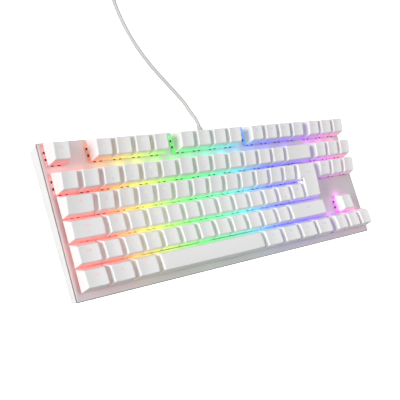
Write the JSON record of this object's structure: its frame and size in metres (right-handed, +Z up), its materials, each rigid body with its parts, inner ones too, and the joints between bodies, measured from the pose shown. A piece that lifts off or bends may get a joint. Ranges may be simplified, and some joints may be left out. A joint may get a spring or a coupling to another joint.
{
  "type": "mechanical keyboard",
  "caption": "Tenkeyless mechanical keyboard with floating caps on a metal plate, a wedge-shaped case, travelling keys, flip feet and a coiled USB lead.",
  "frame": {"origin": "on the desk, under the middle of the keyboard without its lead", "axes": "+X along the key rows to the right, +Y away from the typist, +Z up"},
  "size_m": [0.3548, 0.3457, 0.0343],
  "materials": {
    "case_plastic": "fine moulded texture, white",
    "plate_paint": "white satin powder paint on sheet metal, lit from the switches",
    "cap_plastic": "white translucent doubleshot plastic, slightly satin",
    "board": "white solder mask with switch housings",
    "rubber": "matt grey rubber",
    "cable_jacket": "smooth light grey jacket",
    "plug_steel": "plated sheet steel"
  },
  "bodies": {
    "base": {"bottom_case": "case_plastic", "switch_plate": "plate_paint", "circuit_board": "board", "pad_front_left": "rubber", "pad_front_right": "rubber", "pad_rear_left": "rubber", "pad_rear_right": "rubber", "strain_relief": "cable_jacket", "cable": "cable_jacket", "cable_coil": "cable_jacket", "plug_body": "cable_jacket", "plug_shell": "plug_steel"},
    "escape_key": {"key_escape": "cap_plastic"},
    "f1_key": {"key_f1": "cap_plastic"},
    "f2_key": {"key_f2": "cap_plastic"},
    "f3_key": {"key_f3": "cap_plastic"},
    "f4_key": {"key_f4": "cap_plastic"},
    "f5_key": {"key_f5": "cap_plastic"},
    "f6_key": {"key_f6": "cap_plastic"},
    "f7_key": {"key_f7": "cap_plastic"},
    "f8_key": {"key_f8": "cap_plastic"},
    "f9_key": {"key_f9": "cap_plastic"},
    "f10_key": {"key_f10": "cap_plastic"},
    "f11_key": {"key_f11": "cap_plastic"},
    "f12_key": {"key_f12": "cap_plastic"},
    "print_screen_key": {"key_print_screen": "cap_plastic"},
    "scroll_lock_key": {"key_scroll_lock": "cap_plastic"},
    "pause_key": {"key_pause": "cap_plastic"},
    "insert_key": {"key_insert": "cap_plastic"},
    "home_key": {"key_home": "cap_plastic"},
    "page_up_key": {"key_page_up": "cap_plastic"},
    "delete_key": {"key_delete": "cap_plastic"},
    "end_key": {"key_end": "cap_plastic"},
    "page_down_key": {"key_page_down": "cap_plastic"},
    "left_key": {"key_left": "cap_plastic"},
    "down_key": {"key_down": "cap_plastic"},
    "right_key": {"key_right": "cap_plastic"},
    "up_key": {"key_up": "cap_plastic"},
    "backspace_key": {"key_backspace": "cap_plastic"},
    "tab_key": {"key_tab": "cap_plastic"},
    "caps_lock_key": {"key_caps_lock": "cap_plastic"},
    "left_shift_key": {"key_left_shift": "cap_plastic"},
    "right_shift_key": {"key_right_shift": "cap_plastic"},
    "left_control_key": {"key_left_control": "cap_plastic"},
    "left_super_key": {"key_left_super": "cap_plastic"},
    "left_alt_key": {"key_left_alt": "cap_plastic"},
    "space_key": {"key_space": "cap_plastic"},
    "right_alt_key": {"key_right_alt": "cap_plastic"},
    "function_key": {"key_function": "cap_plastic"},
    "menu_key": {"key_menu": "cap_plastic"},
    "right_control_key": {"key_right_control": "cap_plastic"},
    "enter_key": {"key_enter": "cap_plastic"},
    "number_row": {"keys_number_row": "cap_plastic"},
    "upper_letter_row": {"keys_upper_letter_row": "cap_plastic"},
    "home_letter_row": {"keys_home_letter_row": "cap_plastic"},
    "lower_letter_row": {"keys_lower_letter_row": "cap_plastic"},
    "foot_left": {"flip_foot_left": "case_plastic", "foot_tip_left": "rubber"},
    "foot_right": {"flip_foot_right": "case_plastic", "foot_tip_right": "rubber"}
  },
  "joints": [
    {"name": "escape_travel", "type": "slide", "parent": "base", "child": "escape_key", "axis": [0, -0.0365, 0.9993], "range_m": [-0.004, 0], "stiffness_N_per_m": 75, "springref_m": 0.003},
    {"name": "f1_travel", "type": "slide", "parent": "base", "child": "f1_key", "axis": [0, -0.0365, 0.9993], "range_m": [-0.004, 0], "stiffness_N_per_m": 75, "springref_m": 0.003},
    {"name": "f2_travel", "type": "slide", "parent": "base", "child": "f2_key", "axis": [0, -0.0365, 0.9993], "range_m": [-0.004, 0], "stiffness_N_per_m": 75, "springref_m": 0.003},
    {"name": "f3_travel", "type": "slide", "parent": "base", "child": "f3_key", "axis": [0, -0.0365, 0.9993], "range_m": [-0.004, 0], "stiffness_N_per_m": 75, "springref_m": 0.003},
    {"name": "f4_travel", "type": "slide", "parent": "base", "child": "f4_key", "axis": [0, -0.0365, 0.9993], "range_m": [-0.004, 0], "stiffness_N_per_m": 75, "springref_m": 0.003},
    {"name": "f5_travel", "type": "slide", "parent": "base", "child": "f5_key", "axis": [0, -0.0365, 0.9993], "range_m": [-0.004, 0], "stiffness_N_per_m": 75, "springref_m": 0.003},
    {"name": "f6_travel", "type": "slide", "parent": "base", "child": "f6_key", "axis": [0, -0.0365, 0.9993], "range_m": [-0.004, 0], "stiffness_N_per_m": 75, "springref_m": 0.003},
    {"name": "f7_travel", "type": "slide", "parent": "base", "child": "f7_key", "axis": [0, -0.0365, 0.9993], "range_m": [-0.004, 0], "stiffness_N_per_m": 75, "springref_m": 0.003},
    {"name": "f8_travel", "type": "slide", "parent": "base", "child": "f8_key", "axis": [0, -0.0365, 0.9993], "range_m": [-0.004, 0], "stiffness_N_per_m": 75, "springref_m": 0.003},
    {"name": "f9_travel", "type": "slide", "parent": "base", "child": "f9_key", "axis": [0, -0.0365, 0.9993], "range_m": [-0.004, 0], "stiffness_N_per_m": 75, "springref_m": 0.003},
    {"name": "f10_travel", "type": "slide", "parent": "base", "child": "f10_key", "axis": [0, -0.0365, 0.9993], "range_m": [-0.004, 0], "stiffness_N_per_m": 75, "springref_m": 0.003},
    {"name": "f11_travel", "type": "slide", "parent": "base", "child": "f11_key", "axis": [0, -0.0365, 0.9993], "range_m": [-0.004, 0], "stiffness_N_per_m": 75, "springref_m": 0.003},
    {"name": "f12_travel", "type": "slide", "parent": "base", "child": "f12_key", "axis": [0, -0.0365, 0.9993], "range_m": [-0.004, 0], "stiffness_N_per_m": 75, "springref_m": 0.003},
    {"name": "print_screen_travel", "type": "slide", "parent": "base", "child": "print_screen_key", "axis": [0, -0.0365, 0.9993], "range_m": [-0.004, 0], "stiffness_N_per_m": 75, "springref_m": 0.003},
    {"name": "scroll_lock_travel", "type": "slide", "parent": "base", "child": "scroll_lock_key", "axis": [0, -0.0365, 0.9993], "range_m": [-0.004, 0], "stiffness_N_per_m": 75, "springref_m": 0.003},
    {"name": "pause_travel", "type": "slide", "parent": "base", "child": "pause_key", "axis": [0, -0.0365, 0.9993], "range_m": [-0.004, 0], "stiffness_N_per_m": 75, "springref_m": 0.003},
    {"name": "insert_travel", "type": "slide", "parent": "base", "child": "insert_key", "axis": [0, -0.0365, 0.9993], "range_m": [-0.004, 0], "stiffness_N_per_m": 75, "springref_m": 0.003},
    {"name": "home_travel", "type": "slide", "parent": "base", "child": "home_key", "axis": [0, -0.0365, 0.9993], "range_m": [-0.004, 0], "stiffness_N_per_m": 75, "springref_m": 0.003},
    {"name": "page_up_travel", "type": "slide", "parent": "base", "child": "page_up_key", "axis": [0, -0.0365, 0.9993], "range_m": [-0.004, 0], "stiffness_N_per_m": 75, "springref_m": 0.003},
    {"name": "delete_travel", "type": "slide", "parent": "base", "child": "delete_key", "axis": [0, -0.0365, 0.9993], "range_m": [-0.004, 0], "stiffness_N_per_m": 75, "springref_m": 0.003},
    {"name": "end_travel", "type": "slide", "parent": "base", "child": "end_key", "axis": [0, -0.0365, 0.9993], "range_m": [-0.004, 0], "stiffness_N_per_m": 75, "springref_m": 0.003},
    {"name": "page_down_travel", "type": "slide", "parent": "base", "child": "page_down_key", "axis": [0, -0.0365, 0.9993], "range_m": [-0.004, 0], "stiffness_N_per_m": 75, "springref_m": 0.003},
    {"name": "left_travel", "type": "slide", "parent": "base", "child": "left_key", "axis": [0, -0.0365, 0.9993], "range_m": [-0.004, 0], "stiffness_N_per_m": 75, "springref_m": 0.003},
    {"name": "down_travel", "type": "slide", "parent": "base", "child": "down_key", "axis": [0, -0.0365, 0.9993], "range_m": [-0.004, 0], "stiffness_N_per_m": 75, "springref_m": 0.003},
    {"name": "right_travel", "type": "slide", "parent": "base", "child": "right_key", "axis": [0, -0.0365, 0.9993], "range_m": [-0.004, 0], "stiffness_N_per_m": 75, "springref_m": 0.003},
    {"name": "up_travel", "type": "slide", "parent": "base", "child": "up_key", "axis": [0, -0.0365, 0.9993], "range_m": [-0.004, 0], "stiffness_N_per_m": 75, "springref_m": 0.003},
    {"name": "backspace_travel", "type": "slide", "parent": "base", "child": "backspace_key", "axis": [0, -0.0365, 0.9993], "range_m": [-0.004, 0], "stiffness_N_per_m": 75, "springref_m": 0.003},
    {"name": "tab_travel", "type": "slide", "parent": "base", "child": "tab_key", "axis": [0, -0.0365, 0.9993], "range_m": [-0.004, 0], "stiffness_N_per_m": 75, "springref_m": 0.003},
    {"name": "caps_lock_travel", "type": "slide", "parent": "base", "child": "caps_lock_key", "axis": [0, -0.0365, 0.9993], "range_m": [-0.004, 0], "stiffness_N_per_m": 75, "springref_m": 0.003},
    {"name": "left_shift_travel", "type": "slide", "parent": "base", "child": "left_shift_key", "axis": [0, -0.0365, 0.9993], "range_m": [-0.004, 0], "stiffness_N_per_m": 75, "springref_m": 0.003},
    {"name": "right_shift_travel", "type": "slide", "parent": "base", "child": "right_shift_key", "axis": [0, -0.0365, 0.9993], "range_m": [-0.004, 0], "stiffness_N_per_m": 75, "springref_m": 0.003},
    {"name": "left_control_travel", "type": "slide", "parent": "base", "child": "left_control_key", "axis": [0, -0.0365, 0.9993], "range_m": [-0.004, 0], "stiffness_N_per_m": 75, "springref_m": 0.003},
    {"name": "left_super_travel", "type": "slide", "parent": "base", "child": "left_super_key", "axis": [0, -0.0365, 0.9993], "range_m": [-0.004, 0], "stiffness_N_per_m": 75, "springref_m": 0.003},
    {"name": "left_alt_travel", "type": "slide", "parent": "base", "child": "left_alt_key", "axis": [0, -0.0365, 0.9993], "range_m": [-0.004, 0], "stiffness_N_per_m": 75, "springref_m": 0.003},
    {"name": "space_travel", "type": "slide", "parent": "base", "child": "space_key", "axis": [0, -0.0365, 0.9993], "range_m": [-0.004, 0], "stiffness_N_per_m": 75, "springref_m": 0.003},
    {"name": "right_alt_travel", "type": "slide", "parent": "base", "child": "right_alt_key", "axis": [0, -0.0365, 0.9993], "range_m": [-0.004, 0], "stiffness_N_per_m": 75, "springref_m": 0.003},
    {"name": "function_travel", "type": "slide", "parent": "base", "child": "function_key", "axis": [0, -0.0365, 0.9993], "range_m": [-0.004, 0], "stiffness_N_per_m": 75, "springref_m": 0.003},
    {"name": "menu_travel", "type": "slide", "parent": "base", "child": "menu_key", "axis": [0, -0.0365, 0.9993], "range_m": [-0.004, 0], "stiffness_N_per_m": 75, "springref_m": 0.003},
    {"name": "right_control_travel", "type": "slide", "parent": "base", "child": "right_control_key", "axis": [0, -0.0365, 0.9993], "range_m": [-0.004, 0], "stiffness_N_per_m": 75, "springref_m": 0.003},
    {"name": "enter_travel", "type": "slide", "parent": "base", "child": "enter_key", "axis": [0, -0.0365, 0.9993], "range_m": [-0.004, 0], "stiffness_N_per_m": 75, "springref_m": 0.003},
    {"name": "number_row_travel", "type": "slide", "parent": "base", "child": "number_row", "axis": [0, -0.0365, 0.9993], "range_m": [-0.004, 0], "stiffness_N_per_m": 975, "springref_m": 0.003},
    {"name": "upper_letter_row_travel", "type": "slide", "parent": "base", "child": "upper_letter_row", "axis": [0, -0.0365, 0.9993], "range_m": [-0.004, 0], "stiffness_N_per_m": 900, "springref_m": 0.003},
    {"name": "home_letter_row_travel", "type": "slide", "parent": "base", "child": "home_letter_row", "axis": [0, -0.0365, 0.9993], "range_m": [-0.004, 0], "stiffness_N_per_m": 900, "springref_m": 0.003},
    {"name": "lower_letter_row_travel", "type": "slide", "parent": "base", "child": "lower_letter_row", "axis": [0, -0.0365, 0.9993], "range_m": [-0.004, 0], "stiffness_N_per_m": 825, "springref_m": 0.003},
    {"name": "foot_left_fold", "type": "hinge", "parent": "base", "child": "foot_left", "pos_m": [-0.14238, 0.05253, 0.0035], "axis": [1, 0, 0], "range_deg": [0, 90]},
    {"name": "foot_right_fold", "type": "hinge", "parent": "base", "child": "foot_right", "pos_m": [0.14238, 0.05253, 0.0035], "axis": [1, 0, 0], "range_deg": [0, 90]}
  ]
}
